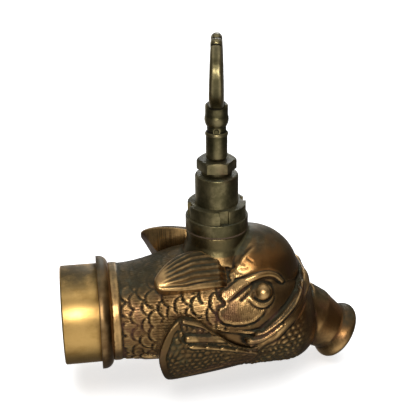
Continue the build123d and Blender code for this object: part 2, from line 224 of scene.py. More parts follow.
def cast_brass(colours):
    """Old cast brass: brown patina, golden where it is rubbed and where highlights are painted, olive film
    on top with painted shade.
    """
    finish = Finish("cast brass")
    low, middle, high = tuple(colours.hollow), tuple(colours.patina), tuple(colours.rubbed_and_highlit)
    tone, golden, hollow = deep_brass(finish, low, middle, high)
    red = finish.curve(finish.grain(0.017, 3.0, 0.5), 0.5, 0.68)
    tone = finish.mix(red * 0.45, tone, tuple(colours.blush))
    green = finish.curve(finish.grain(0.013, 4.0, 0.6), 0.54, 0.7)
    tone = finish.mix(green * 0.4, tone, tuple(colours.olive))
    tint = finish.attribute("tint")
    tone = finish.mix(finish.curve(tint, 0.0, 1.0) * 0.75, tone, tuple(colours.amber))
    tone = finish.mix(finish.curve(tint * -1.0, 0.0, 1.0) * 0.85, tone, tuple(colours.olive))
    # Dull film with painted shade on faces that look up.
    film_and_shade = film_and_top_shade(finish, 0.5, 0.95) * (1.0 - golden * 0.5)
    pale = finish.curve(finish.grain(0.008, 4.0, 0.65), 0.5, 0.75)
    film_and_shade_tone = finish.mix(pale, tuple(colours.film_and_shade), tuple(colours.pale_film))
    finish.set(Base_Color=finish.mix(film_and_shade, tone, film_and_shade_tone))
    finish.set(Metallic=1.0 - film_and_shade * 0.75 - hollow * 0.3)
    rough = 0.30 + 0.18 * finish.grain(0.004) + hollow * 0.25 + film_and_shade * 0.15 - golden * 0.06
    finish.set(Roughness=rough)
    lines = hatching(finish) * finish.attribute("hatch") + combing(finish) * finish.attribute("comb")
    pitted = finish.grain(0.0011, 4.0, 0.7) * 0.25 + finish.grain(0.005, 3.0, 0.5) * 0.5
    finish.bump(pitted * 0.55 - lines, 0.0007, 0.95)
    return finish.material


def hatching(finish):
    """Engraved strokes that run along the neck, broken and wavering."""
    along = finish.place_part("Y")
    up = finish.place_part("Z")
    turn = finish.node("ShaderNodeMath", {"operation": "ARCTAN2"}, [up, along])
    wobble = finish.grain(0.014, 2.0, 0.5) * 7.0
    wave = finish.node("ShaderNodeMath", {"operation": "SINE"}, [turn * 112.0 + wobble])
    line = finish.curve(wave, -0.2, 0.75)
    gaps = finish.curve(finish.grain(0.006, 2.0, 0.5), 0.36, 0.5)
    return line * gaps


def combing(finish):
    """Fine strokes that run down the cheek."""
    along = finish.place_part("X")
    wobble = finish.grain(0.008, 3.0, 0.6) * 11.0
    wave = finish.node("ShaderNodeMath", {"operation": "SINE"}, [along * 4600.0 + wobble])
    gaps = finish.curve(finish.grain(0.0035, 2.0, 0.5), 0.35, 0.55)
    return finish.curve(wave, 0.0, 0.9) * gaps * 0.6


def turned_brass(colours):
    """Turned valve parts: dull olive brass with brown clouds and fine turning marks, with film and painted
    shade on top.
    """
    finish = Finish("turned valve brass")
    cloud = finish.curve(finish.grain(0.011, 4.0, 0.6), 0.36, 0.68)
    tone = finish.mix(cloud, tuple(colours.olive), tuple(colours.olive_gold))
    red = finish.curve(finish.grain(0.015, 3.0, 0.5), 0.55, 0.72)
    tone = finish.mix(red * 0.5, tone, tuple(colours.blush))
    # Dull film with painted shade on faces that look up.
    film_and_shade = film_and_top_shade(finish, 0.4, 0.9)
    pale = finish.curve(finish.grain(0.006, 4.0, 0.65), 0.45, 0.7)
    film_and_shade_tone = finish.mix(pale, tuple(colours.film_and_shade), tuple(colours.pale_film))
    rings = finish.grain(0.01, 2.0, 0.5, (0.15, 0.15, 22.0))
    finish.set(Base_Color=finish.mix(film_and_shade, tone, film_and_shade_tone), Metallic=1.0 - film_and_shade * 0.7)
    finish.set(Roughness=0.32 + 0.16 * finish.grain(0.005) + film_and_shade * 0.18)
    finish.bump(rings * 0.5 + finish.grain(0.002, 4.0, 0.6) * 0.5, 0.00025, 0.5)
    return finish.material


def handle_brass(colours):
    """Cast handle: olive brown, rubbed golden where fingers reach, with film and painted shade on top."""
    finish = Finish("handle brass")
    low, middle, high = tuple(colours.hollow), tuple(colours.olive), tuple(colours.olive_gold)
    tone, _, hollow = deep_brass(finish, low, middle, high)
    # Dull film with painted shade on faces that look up.
    film_and_shade = film_and_top_shade(finish, 0.55, 0.7)
    tone = finish.mix(film_and_shade, tone, tuple(colours.film_and_shade))
    finish.set(Base_Color=tone, Metallic=1.0 - hollow * 0.25 - film_and_shade * 0.5)
    finish.set(Roughness=0.28 + 0.15 * finish.grain(0.004) + hollow * 0.15 + film_and_shade * 0.15)
    finish.bump(finish.grain(0.0035, 4.0, 0.6), 0.0004, 0.5)
    return finish.material


def bright_brass(colours):
    """Turned and brushed brass of the pipe socket, dull on top with film and painted shade."""
    finish = Finish("brushed bright brass")
    lines = finish.grain(0.01, 3.0, 0.6, (40.0, 0.6, 0.6))
    cloud = finish.grain(0.016, 4.0, 0.62, (1.0, 2.0, 2.0))
    tone = finish.mix(finish.curve(cloud, 0.08, 0.62), tuple(colours.bright_low), tuple(colours.bright))
    tone = finish.mix(lines * 0.3, tone, tuple(colours.bright_low))
    # Dull film with painted shade on faces that look up.
    film_and_shade = film_and_top_shade(finish, 0.66, 0.9)
    tone = finish.mix(film_and_shade, tone, tuple(colours.film_and_shade))
    finish.set(Base_Color=tone, Metallic=1.0 - film_and_shade * 0.6)
    finish.set(Roughness=0.26 + lines * 0.12 + cloud * 0.06 + film_and_shade * 0.15)
    finish.bump(lines, 0.0001, 0.6)
    return finish.material


def ring_brass(colours):
    """Collar ring: golden brown, handled, with film and painted shade on top."""
    finish = Finish("golden brown brass")
    cloud = finish.curve(finish.grain(0.009, 4.0, 0.6), 0.34, 0.7)
    tone = finish.mix(cloud, tuple(colours.patina), tuple(colours.ring_gold))
    # Dull film with painted shade on faces that look up.
    film_and_shade = film_and_top_shade(finish, 0.62, 0.9)
    tone = finish.mix(film_and_shade, tone, tuple(colours.film_and_shade))
    finish.set(Base_Color=tone, Metallic=1.0 - film_and_shade * 0.6)
    finish.set(Roughness=0.28 + 0.16 * finish.grain(0.004) + film_and_shade * 0.15)
    finish.bump(finish.grain(0.003, 4.0, 0.6), 0.0003, 0.4)
    return finish.material


def bronze(colours):
    """Machined bronze of the inner valve parts."""
    finish = Finish("machined bronze")
    lines = finish.grain(0.008, 2.0, 0.5, (0.4, 0.4, 18.0))
    tone = finish.mix(lines, tuple(colours.bright_low), tuple(colours.ring_gold))
    finish.set(Base_Color=tone, Metallic=1.0, Roughness=0.28 + lines * 0.15)
    finish.bump(lines, 0.0002, 0.4)
    return finish.material


def leather():
    """Oiled leather washers."""
    finish = Finish("oiled leather")
    cloud = finish.grain(0.004, 5.0, 0.6)
    tone = finish.mix(cloud, (0.045, 0.028, 0.017), (0.11, 0.07, 0.04))
    cells = finish.node("ShaderNodeTexVoronoi", {}, {"Vector": finish.place, "Scale": 1400.0})
    finish.set(Base_Color=tone, Roughness=0.55 + cloud * 0.2)
    finish.bump(cells, 0.0002, 0.6)
    return finish.material


def braid():
    """Greased braided packing."""
    finish = Finish("greased packing")
    weave = finish.node(
        "ShaderNodeTexWave",
        {"wave_type": "BANDS", "bands_direction": "DIAGONAL"},
        {"Vector": finish.place, "Scale": 420.0, "Distortion": 2.0},
    )
    tone = finish.mix(weave, (0.20, 0.17, 0.11), (0.48, 0.42, 0.30))
    finish.set(Base_Color=tone, Roughness=0.62 + weave * 0.15)
    finish.bump(weave, 0.0003, 0.7)
    return finish.material


# ---------------------------------------------------------------- mesh helpers


def clear_selection():
    bpy.ops.object.select_all(action="DESELECT")


def only(piece):
    """Makes one object selected and active."""
    clear_selection()
    piece.select_set(True)
    bpy.context.view_layer.objects.active = piece


def apply(piece, kind, **settings):
    """Adds a modifier, sets it and applies it."""
    only(piece)
    modifier = piece.modifiers.new(kind.lower(), kind)
    for key, value in settings.items():
        setattr(modifier, key, value)
    bpy.ops.object.modifier_apply(modifier=modifier.name)


def even_out(piece, share, rounds, kind="SIMPLE"):
    """Smooths away the steps of a voxel mesh."""
    apply(
        piece, "CORRECTIVE_SMOOTH", factor=share, iterations=rounds, smooth_type=kind, use_only_smooth=True
    )


def copy_of(node, name):
    """A merged copy of a CAD node, as a start for a finer piece."""
    source = frame["nodes"][node]
    mesh = source.data.copy()
    mesh.name = name
    mesh.materials.clear()
    piece = bpy.data.objects.new(name, mesh)
    bpy.context.scene.collection.objects.link(piece)
    work = bmesh.new()
    work.from_mesh(mesh)
    bmesh.ops.remove_doubles(work, verts=work.verts, dist=0.000002)
    bmesh.ops.recalc_face_normals(work, faces=work.faces)
    work.to_mesh(mesh)
    work.free()
    for layer in list(mesh.uv_layers):
        mesh.uv_layers.remove(layer)
    if mesh.has_custom_normals:
        only(piece)
        bpy.ops.mesh.customdata_custom_splitnormals_clear()
    return piece


def settle(piece, body, node_names, material):
    """Gives a finished piece its finish and body, and hides the nodes it stands for."""
    piece.data.materials.clear()
    piece.data.materials.append(material)
    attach(piece, body)
    if node_names:
        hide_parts(*node_names)


def points_of(mesh):
    found = np.empty(len(mesh.vertices) * 3)
    mesh.vertices.foreach_get("co", found)
    return found.reshape(-1, 3)


def normals_of(mesh):
    found = np.empty(len(mesh.vertices) * 3)
    mesh.vertex_normals.foreach_get("vector", found)
    return found.reshape(-1, 3)


def neighbour_mean(mesh, values, rounds=1):
    """Mean of each vertex's neighbours, a number of times over."""
    edges = np.empty(len(mesh.edges) * 2, dtype=np.int64)
    mesh.edges.foreach_get("vertices", edges)
    edges = edges.reshape(-1, 2)
    count = np.bincount(edges.ravel(), minlength=len(values)).astype(float)
    count[count == 0] = 1.0
    for _ in range(rounds):
        total = np.zeros_like(values)
        np.add.at(total, edges[:, 0], values[edges[:, 1]])
        np.add.at(total, edges[:, 1], values[edges[:, 0]])
        share = count if values.ndim == 1 else count[:, None]
        values = total / share
    return values


def move_out(piece, height_mm):
    """Moves each vertex along its normal by a height in millimetres."""
    mesh = piece.data
    moved = points_of(mesh) + normals_of(mesh) * (height_mm * MM)[:, None]
    mesh.vertices.foreach_set("co", moved.ravel())
    mesh.update()


def write_attribute(piece, name, values):
    layer = piece.data.attributes.new(name, "FLOAT", "POINT")
    layer.data.foreach_set("value", values.astype(np.float32))


def mark_wear(piece, reach_mm, rounds):
    """Stores how far each vertex stands out of, or lies below, the surface round it."""
    mesh = piece.data
    points = points_of(mesh)
    mean = neighbour_mean(mesh, points, rounds)
    stand = ((points - mean) * normals_of(mesh)).sum(axis=1) / MM / reach_mm
    stand = neighbour_mean(mesh, stand, 1)
    write_attribute(piece, "wear", np.clip(stand, -1.0, 1.0))


def smooth_step(value, low, high):
    share = np.clip((value - low) / (high - low), 0.0, 1.0)
    return share * share * (3.0 - 2.0 * share)


def lumps(points, size_mm, seed):
    """Smooth noise from about -1 to 1 for each point."""
    scale = 1.0 / (size_mm * MM)
    shift = Vector((seed, seed * 1.7, seed * 2.3))
    return np.array([noise.noise(Vector(p) * scale + shift) for p in points])


def away_from_line(x, z, route):
    """Distance from a route of (x, z) points, and how far along it, 0 to 1."""
    best = np.full(len(x), 1e9)
    along = np.zeros(len(x))
    lengths = [math.dist(a, b) for a, b in zip(route, route[1:])]
    total, done = sum(lengths), 0.0
    for (ax, az), (bx, bz), length in zip(route, route[1:], lengths):
        dx, dz = (bx - ax) / length, (bz - az) / length
        t = np.clip((x - ax) * dx + (z - az) * dz, 0.0, length)
        gap = np.hypot(x - ax - t * dx, z - az - t * dz)
        nearer = gap < best
        best = np.where(nearer, gap, best)
        along = np.where(nearer, (done + t) / total, along)
        done += length
    return best, along


# ---------------------------------------------------------------- relief of the casting

STEM_X = 106.0
EYE = (130.4, 26.0)
BROW = [(103.5, 23.5), (109.2, 26.6), (114.8, 29.6), (120.5, 32.0), (125.9, 34.2), (131.3, 35.3)]
BROW += [(136.9, 34.8), (141.5, 32.4), (145.5, 28.0)]
LOWER_LID = [(121.0, 24.2), (124.5, 20.4), (129.6, 18.2), (135.0, 19.0), (138.3, 22.5)]
HEAD_PLATE = [(150.0, 62.0), (124.0, 49.0), (119.0, 46.2), (115.3, 45.0), (113.6, 41.2), (114.6, 39.6)]
HEAD_PLATE += [(111.2, 38.6), (109.8, 34.9), (111.0, 32.6), (107.0, 31.2), (103.4, 28.0), (102.6, 24.6)]
HEAD_PLATE += [(105.4, 21.6), (105.0, 19.9), (101.6, 18.9), (99.8, 15.6), (100.6, 12.2), (104.0, 9.2)]
HEAD_PLATE += [(110.0, 7.4), (117.0, 7.0), (124.0, 8.2), (129.5, 12.0), (133.0, 16.2)]
HEAD_PLATE += [(140.0, 22.0), (175.0, 30.0)]
GILL = [(127.0, -13.5), (131.5, -9.0), (138.3, -5.6), (143.9, -0.8), (149.3, 3.2), (155.5, 7.6)]
GILL += [(161.0, 12.5), (164.5, 18.0), (165.5, 24.0)]
UPPER_STRAND = [(77.0, 15.6), (87.9, 11.6), (95.0, 7.4), (102.1, 3.3), (113.9, 0.9), (127.6, 1.2)]
UPPER_STRAND += [(137.3, 6.0), (146.8, 11.9), (153.4, 16.4), (158.0, 21.0)]
MIDDLE_STRAND = [(79.6, 3.8), (89.6, 2.2), (101.4, -0.3), (114.0, -3.4), (125.3, -3.9), (133.5, -1.0)]
MIDDLE_STRAND += [(142.0, 4.8)]
FIN_COVER = [(136.0, -2.0), (110.0, 3.2), (102.1, 4.6), (95.0, 8.2), (88.0, 12.0), (76.0, 17.0), (60.0, 8.0)]
FIN_COVER += [(58.0, -30.0), (75.0, -42.0), (106.0, -36.0), (136.0, -28.5)]
LOBED_STRAND = [(80.7, -2.8), (90.8, -5.2), (101.5, -8.2), (111.3, -11.4), (125.8, -17.0)]
DASHES = [((117.0, 42.6), (120.5, 41.2)), ((113.6, 36.4), (118.0, 35.6)), ((117.5, 38.8), (122.5, 39.4))]
DASHES += [((111.8, 33.4), (115.5, 33.0)), ((122.6, 45.0), (125.4, 43.2)), ((104.0, 14.0), (108.0, 12.6))]


def bend(route, steps=5):
    """The same route with its corners rounded."""
    ends = [route[0], *route, route[-1]]
    bent = []
    for before, start, end, after in zip(ends, ends[1:], ends[2:], ends[3:]):
        for step in range(steps):
            t = step / steps
            spread = [
                0.5 * (2 * s + (e - b) * t + (2 * b - 5 * s + 4 * e - a) * t**2)
                + 0.5 * (3 * s - b - 3 * e + a) * t**3
                for b, s, e, a in zip(before, start, end, after)
            ]
            bent.append(tuple(spread))
    return bent + [route[-1]]


def inside_outline(x, z, outline):
    """Distance inside a closed outline in mm, negative outside."""
    closed = outline + [outline[0]]
    gap, _ = away_from_line(x, z, closed)
    inside = np.zeros(len(x), dtype=bool)
    for (ax, az), (bx, bz) in zip(closed, closed[1:]):
        crosses = (az > z) != (bz > z)
        if az != bz:
            inside ^= crosses & (x < (bx - ax) * (z - az) / (bz - az) + ax)
    return np.where(inside, gap, -gap)


def scatter(row, column, seed):
    """A steady pseudo-random number from -1 to 1 for each scale."""
    value = np.sin(row * 12.9898 + column * 78.233 + seed * 37.719) * 43758.5453
    return 2.0 * (value - np.floor(value)) - 1.0


def fish_scales(x, turn, step, length, pitch, tilt, seed):
    """Height of overlapped scales whose free edges point to the inlet."""
    height = np.zeros(len(x))
    for row in range(int(80.0 / step)):
        shift = 0.5 * (row % 2)
        column = np.round(turn / pitch - shift)
        centre = 43.0 + row * step + 0.16 * length * scatter(row, column, seed)
        middle = (column + shift) * pitch + 0.12 * pitch * scatter(row, column, seed + 1.0)
        long = length * (1.0 + 0.12 * scatter(row, column, seed + 2.0))
        u = (centre - x) / long
        v = (turn - middle) / (pitch * 0.56)
        reach = np.sqrt(np.maximum(u, 0.0) ** 2 + np.abs(v) ** 2.6)
        uneven = 0.2 * scatter(row, column, seed + 3.0)
        rise = tilt * (0.15 + 0.85 * np.clip(reach, 0.0, 1.0) ** 1.8 + uneven)
        rim = 1.0 - smooth_step(reach, 0.88, 1.0)
        front = u > -0.8
        height = np.where(front & (reach < 1.0), rise * (0.45 + 0.55 * rim), height)
        groove = front & (reach >= 1.0) & (reach < 1.09)
        height = np.where(groove, -0.36, height)
    return height


def strands(x, z, lift=1.0):
    """The three long strands that sweep from the throat fin to the gill band."""
    height = np.zeros(len(x))
    for route, half_width, rise in (
        (UPPER_STRAND, 1.5, 1.0),
        (MIDDLE_STRAND, 2.9, 1.5),
        (LOBED_STRAND, 1.9, 0.8),
    ):
        gap, along = away_from_line(x, z, bend(route))
        width = half_width * (1.0 - 0.45 * along)
        if route is LOBED_STRAND:
            lobe = (along * 4.6) % 1.0
            width = 1.0 + 1.1 * np.sqrt(np.clip(1.0 - lobe, 0.0, 1.0)) * smooth_step(lobe, 0.0, 0.2)
        crown = rise * lift * np.sqrt(np.clip(1.0 - (gap / np.maximum(width, 0.1)) ** 2, 0.0, 1.0))
        edge = -0.5 * np.exp(-(((gap - width - 0.5) / 0.6) ** 2)) * (gap > width)
        height = np.where(gap < width, np.maximum(height, crown), height + edge)
    return height


def strand_tip_highlights(x, z):
    """Painted highlights on the strands' tips."""
    shine = 1.3 * np.exp(-((x - 82.5) ** 2 + (z - 3.4) ** 2 * 1.5) / 9.0)
    shine += 0.8 * np.exp(-((x - 84.0) ** 2 + (z + 3.8) ** 2 * 2.0) / 9.0)
    shine += 0.7 * np.exp(-((x - 101.0) ** 2 + (z + 8.0) ** 2 * 2.0) / 9.0)
    return shine + 0.7 * np.exp(-((x - 122.5) ** 2 + (z + 15.5) ** 2 * 2.0) / 9.0)


def casting_relief(points, normals):
    """Height in mm of everything modelled on the casting, and its hatched, combed and rubbed areas, the last
    with painted highlights.
    """
    x, y, z = points[:, 0] / MM, np.abs(points[:, 1]) / MM, points[:, 2] / MM
    turn = np.degrees(np.arctan2(z, y))
    outside = outer_skin(points, normals)
    depth = inside_outline(x, z, HEAD_PLATE)
    plate = smooth_step(depth, -0.3, 0.5)
    left = (1.0 - smooth_step(x, 124.0, 136.0)) * smooth_step(y, 16.0, 22.0)
    on_neck = smooth_step(x, 38.5, 40.0) * (1.0 - plate) * (1.0 - smooth_step(x, 122.0, 130.0))
    clear_boss = smooth_step(np.hypot(x - STEM_X, y), 24.5, 27.0)
    under_strand = smooth_step(away_below(x, z), -1.0, 1.0)
    large = fish_scales(x, turn, 5.8, 10.0, 20.0, 0.42, 1.0)
    small = fish_scales(x, turn, 5.0, 7.8, 14.5, 0.7, 9.0)
    low = smooth_step(-turn, 20.0, 24.0)
    calm = 1.0 - 0.7 * smooth_step(turn, 42.0, 62.0)
    scales = (large * (1.0 - low) + small * low) * calm * on_neck * clear_boss * under_strand
    height = scales + 0.9 * plate * left * clear_boss
    rim = np.exp(-((depth - 1.0) ** 2) / 0.9)
    groove = np.exp(-((depth + 0.75) ** 2) / 0.3)
    height += (0.35 * rim - 0.38 * groove) * left * clear_boss
    height += brow_and_eye(x, y, z)
    height += chin_bumps(points, x, z)
    height += gill_crown(x, y, z)
    height += strands(x, z) * smooth_step(x, 100.0, 104.0) * (y > 20)
    covered = smooth_step(inside_outline(x, z, FIN_COVER), 0.3, 1.6) * (1.0 - smooth_step(x, 115.0, 122.0))
    height = height * (1.0 - covered) - 0.6 * covered * smooth_step(x, 96.0, 104.0)
    height += 0.1 * lumps(points, 9.0, 3.0)
    hatch = on_neck * clear_boss * smooth_step(scales, 0.0, 0.25) * (0.6 + 0.5 * low) * under_strand
    comb = 0.4 * plate * left * smooth_step(22.5 - z, 0.0, 3.0)
    comb = np.maximum(comb, 0.5 * plate * left * (z > 24) * (z < 36) * (x < 122))
    rub_and_painted_light = rubbed_and_highlit_areas(x, y, z, plate, left)
    return height * outside, hatch * outside, comb * outside, rub_and_painted_light


def away_below(x, z):
    """How far a point is above the upper strand."""
    route = bend(UPPER_STRAND)
    level = np.interp(x, [p[0] for p in route], [p[1] for p in route], left=-99.0)
    return np.where(x < 62.0, 9.0, z - level + np.where(x < 77.0, 99.0, 0.0))


def rubbed_and_highlit_areas(x, y, z, plate, left):
    """Where hands and cloths keep the brass bright, where highlights are painted on the eye and the strand
    tips, and where it stays dark.
    """
    rub_and_painted_light = 0.15 + 0.4 * plate * left * np.exp(-(((z - 15.0) / 9.0) ** 2))
    rub_and_painted_light += 1.1 * np.exp(-(((x - 117.0) / 9.0) ** 2) - ((z - 37.5) / 5.0) ** 2) * (y > 12)
    gap, _ = away_from_line(x, z, bend(BROW))
    rub_and_painted_light += 0.7 * np.exp(-((gap / 2.8) ** 2)) * (y > 14)
    # Painted highlight on the eyeball.
    rub_and_painted_light += 0.6 * np.exp(-(((x - EYE[0]) ** 2 + (z - EYE[1]) ** 2) / 20.0)) * (y > 14)
    rub_and_painted_light -= 0.85 * smooth_step(x, 136.0, 142.0) * smooth_step(165.0 - x, 0.0, 8.0) * smooth_step(z, 2.0, 8.0)
    gap, _ = away_from_line(x, z, bend(GILL))
    rub_and_painted_light += 0.3 * np.exp(-((gap / 3.2) ** 2)) * (x < 158)
    jaw = smooth_step(x, 104.0, 110.0) * smooth_step(-z, 12.0, 18.0) * smooth_step(164.0 - x, 0.0, 6.0)
    rub_and_painted_light -= 0.6 * jaw
    rub_and_painted_light -= 0.9 * smooth_step(away_strip(x, z), 0.0, 2.0) * (x > 104) * (x < 140)
    rub_and_painted_light -= 0.6 * smooth_step(x, 186.0, 194.0)
    rub_and_painted_light += 0.5 * smooth_step(x, 166.0, 172.0) * smooth_step(-z - (x - 170.0) * 0.5, 2.0, 14.0)
    rub_and_painted_light += 0.5 * (x < 37.8)
    # Painted highlights on the strand tips are added here.
    return np.clip(rub_and_painted_light + 0.6 * strand_tip_highlights(x, z), -1.0, 1.6)


def tint_of(points):
    """Where the patina is amber, above 0, and where it is olive, below 0."""
    x, y, z = points[:, 0] / MM, np.abs(points[:, 1]) / MM, points[:, 2] / MM
    tint = 1.3 * np.exp(-(((x - 133.0) / 14.0) ** 2) - ((z - 43.0) / 8.0) ** 2)
    tint += 1.0 * np.exp(-(((x - 186.0) / 13.0) ** 2) - ((z + 12.0) / 14.0) ** 2)
    tint += 0.7 * np.exp(-(((x - 158.0) / 6.0) ** 2) - ((z - 6.0) / 12.0) ** 2)
    jaw = smooth_step(x, 104.0, 112.0) * smooth_step(-z, 6.0, 14.0) * smooth_step(168.0 - x, 0.0, 8.0)
    tint -= 0.4 * jaw
    boss = smooth_step(25.5 - np.hypot(x - STEM_X, y), 0.0, 2.0) * smooth_step(z, 45.0, 48.5)
    tint -= 2.0 * boss + 0.5 * smooth_step(z, 24.0, 34.0) * (x < 100)
    return np.clip(tint + 0.15 * lumps(points, 8.0, 12.0), -1.0, 1.0)


def away_strip(x, z):
    """Inside the dark strip between the cheek and the strands."""
    lower = np.interp(x, [100.0, 114.0, 128.0, 140.0], [-14.0, -16.0, -16.0, -4.0])
    upper = np.interp(x, [100.0, 117.0, 124.0, 133.0, 140.0], [9.0, 6.5, 7.5, 13.0, 18.0])
    return np.minimum(upper - z, z - lower)


def outer_skin(points, normals):
    """1 on the outside of the neck and head, 0 in the water ways, on the snout and on the boss."""
    x, z = points[:, 0] / MM, points[:, 2] / MM
    side = np.hypot(points[:, 1] / MM, z)
    from_stem = np.hypot(x - STEM_X, points[:, 1] / MM)
    centre_z = np.interp(x, [100.0, 170.0], [0.0, -15.0])
    outward = normals[:, 1] * points[:, 1] / MM + normals[:, 2] * (z - centre_z)
    skin = smooth_step(outward / np.maximum(side, 1.0), 0.05, 0.3)
    skin *= smooth_step(side, 29.0, 31.0) + (x > 120) * (side > 24)
    skin *= np.where((z > 44) & (from_stem < 22.5), 0.0, 1.0)
    skin *= 1.0 - smooth_step(x, 166.0, 172.0)
    return np.clip(skin, 0.0, 1.0)


def brow_and_eye(x, y, z):
    """Brow ridge, eyeball line, lids and engraved dashes on each side."""
    gap, along = away_from_line(x, z, bend(BROW))
    width = 3.1 - 1.9 * along
    ridge = 1.5 * np.clip(1.0 - (gap / width) ** 4, 0.0, 1.0) ** 0.5 * (gap < width)
    trench = -0.75 * np.exp(-(((gap - width - 0.6) / 0.65) ** 2)) * (1.0 - 0.6 * along)
    side = smooth_step(y, 14.0, 20.0)
    reach = np.hypot(x - EYE[0], (z - EYE[1]) * 1.05)
    socket = -0.3 * np.exp(-(((reach - 6.6) / 0.9) ** 2))
    line = -0.5 * np.exp(-(((reach - 5.5) / 0.42) ** 2))
    lid_gap, lid_along = away_from_line(x, z, bend(LOWER_LID))
    lid_width = 1.7 * np.sin(np.clip(lid_along, 0.02, 0.98) * math.pi) ** 0.5
    lid = 0.6 * np.clip(1.0 - (lid_gap / lid_width) ** 2, 0.0, 1.0)
    lid -= 0.45 * np.exp(-(((lid_gap - lid_width - 0.5) / 0.5) ** 2)) * np.sin(lid_along * math.pi)
    corner_gap, _ = away_from_line(x, z, [(116.0, 22.2), (121.5, 26.0), (125.0, 29.8)])
    corner = -0.6 * np.exp(-((corner_gap / 0.7) ** 2))
    height = (ridge + trench) * smooth_step(along, 0.0, 0.2) * (1.0 - 0.5 * smooth_step(along, 0.75, 1.0))
    height += socket + line + lid + corner
    for start, end in DASHES:
        dash, _ = away_from_line(x, z, [start, end])
        height -= 0.32 * np.exp(-((dash / 0.42) ** 2))
    return side * height


def gill_crown(x, y, z):
    """Rounds the gill band and gives it a groove on each edge."""
    gap, _ = away_from_line(x, z, bend(GILL))
    crown = 1.1 * np.clip(1.0 - (gap / 3.0) ** 2, 0.0, 1.0)
    edge = -0.5 * np.exp(-(((gap - 3.9) / 0.7) ** 2))
    return (crown + edge) * smooth_step(y, 3.0, 12.0) * (x > 120)


def pebbles(points, u, v):
    """Uneven rows of small round bumps, 0 to 1."""
    drift = lumps(points, 7.0, 5.0)
    u, v = u + 0.45 * drift, v + 0.35 * lumps(points, 8.0, 6.0)
    row = np.floor(v)
    column = np.floor(u + 0.5 * (row % 2))
    cell = np.hypot((u + 0.5 * (row % 2)) % 1.0 - 0.5, v % 1.0 - 0.5)
    size = 0.5 + 0.09 * scatter(row, column, 4.0)
    return smooth_step(size - cell, 0.0, 0.34) * (0.75 + 0.25 * scatter(row, column, 5.0))


def chin_bumps(points, x, z):
    """Uneven bumps under the jaw."""
    turn = np.degrees(np.arctan2(z, np.abs(points[:, 1]) / MM))
    bump = 1.0 * pebbles(points, x / 4.6, turn / 7.0)
    gill = bend(GILL)
    level = np.interp(x, [p[0] for p in gill], [p[1] for p in gill])
    where = smooth_step(x, 112.0, 118.0) * smooth_step(level - 4.5 - z, 0.0, 2.5)
    return (bump - 0.4) * where * (1.0 - smooth_step(x, 156.0, 163.0))


# ---------------------------------------------------------------- pieces


def coarsen_inside(piece, keep_share):
    """Thins the mesh of the hidden water ways only."""
    mesh = piece.data
    hidden = inside_ways(points_of(mesh))
    group = piece.vertex_groups.new(name="ways")
    group.add([int(i) for i in np.nonzero(hidden)[0]], 1.0, "REPLACE")
    apply(piece, "DECIMATE", ratio=keep_share, vertex_group="ways")
    piece.vertex_groups.clear()


def inside_ways(points):
    """True for points on the walls of the water ways."""
    x, y, z = points[:, 0] / MM, points[:, 1] / MM, points[:, 2] / MM
    neck = (x < 60) & (np.hypot(y, z) < 30.0)
    lower = (x > 55) & (x < 125) & (np.hypot(y, z + 12) < 29.5) & (z < 8)
    chamber = (np.hypot(x - STEM_X, y) < 19.2) & (z < 58)
    drop_x = x - 150.0
    drop_z = z - 4.0
    across = np.hypot(drop_x * 0.689 + drop_z * 0.725, y)
    outlet = (x > 118) & (x < 174) & (across < 15.0)
    return neck | lower | chamber | outlet


def build_casting(sizes, material):
    piece = copy_of("body_casting", "head_casting")
    apply(piece, "REMESH", mode="VOXEL", voxel_size=sizes.casting_grain)
    even_out(piece, 0.5, 4, "LENGTH_WEIGHTED")
    coarsen_inside(piece, sizes.keep_share)
    height, hatch, comb, rub_and_painted_light = casting_relief(points_of(piece.data), normals_of(piece.data))
    move_out(piece, height)
    even_out(piece, 0.35, 1)
    mark_wear(piece, 0.28, 5)
    write_attribute(piece, "hatch", hatch)
    write_attribute(piece, "comb", comb)
    write_attribute(piece, "rub_and_painted_light", rub_and_painted_light)
    write_attribute(piece, "tint", tint_of(points_of(piece.data)))
    only(piece)
    bpy.ops.object.shade_smooth()
    settle(piece, "casting", ["body_casting"], material)
    return piece


def upper_fin_relief(points):
    """Lengthwise ribs that meet at the tip and a rim along the lower edge, with a painted highlight on the
    tip.
    """
    x, y, z = points[:, 0] / MM, np.abs(points[:, 1]) / MM, points[:, 2] / MM
    turn = np.degrees(np.arctan2(z, y))
    if points[:, 1].mean() > 0:
        reach = [57.5, 63.5, 70.5, 83.5, 95.5, 108.0]
        low = np.interp(x, reach, [41.0, 32.7, 31.0, 32.0, 35.0, 38.0])
        high = np.interp(x, reach, [46.0, 55.3, 62.0, 70.0, 76.0, 81.0])
    else:
        low = np.interp(x, [59.0, 66.0, 80.0, 106.0], [43.0, 41.0, 40.0, 43.0])
        high = np.interp(x, [59.0, 62.0, 68.0, 75.0, 86.0, 106.0], [50.0, 53.0, 60.0, 66.0, 73.0, 81.0])
    share = (turn - low) / (high - low)
    ribs = np.cos((share * 7.0 + 0.12 * np.sin(x / 5.0)) * 2 * math.pi)
    ribs = np.sign(ribs) * np.abs(ribs) ** 0.7
    body = smooth_step(x, 64.0, 76.0) * smooth_step(share, 0.1, 0.18) * smooth_step(1.0 - share, 0.0, 0.1)
    rim = -0.7 * np.exp(-(((share - 0.13) / 0.03) ** 2)) * smooth_step(x, 60.5, 64.0)
    # The golden spot near the tip is a painted highlight.
    rub_and_painted_light = 0.2 + 1.2 * np.exp(-(((x - 64.0) / 6.0) ** 2)) - 0.5 * smooth_step(share, 0.65, 1.0)
    return (0.28 * ribs - 0.28) * body + rim, rub_and_painted_light, 3.8 * smooth_step(x, 102.0, 107.5)


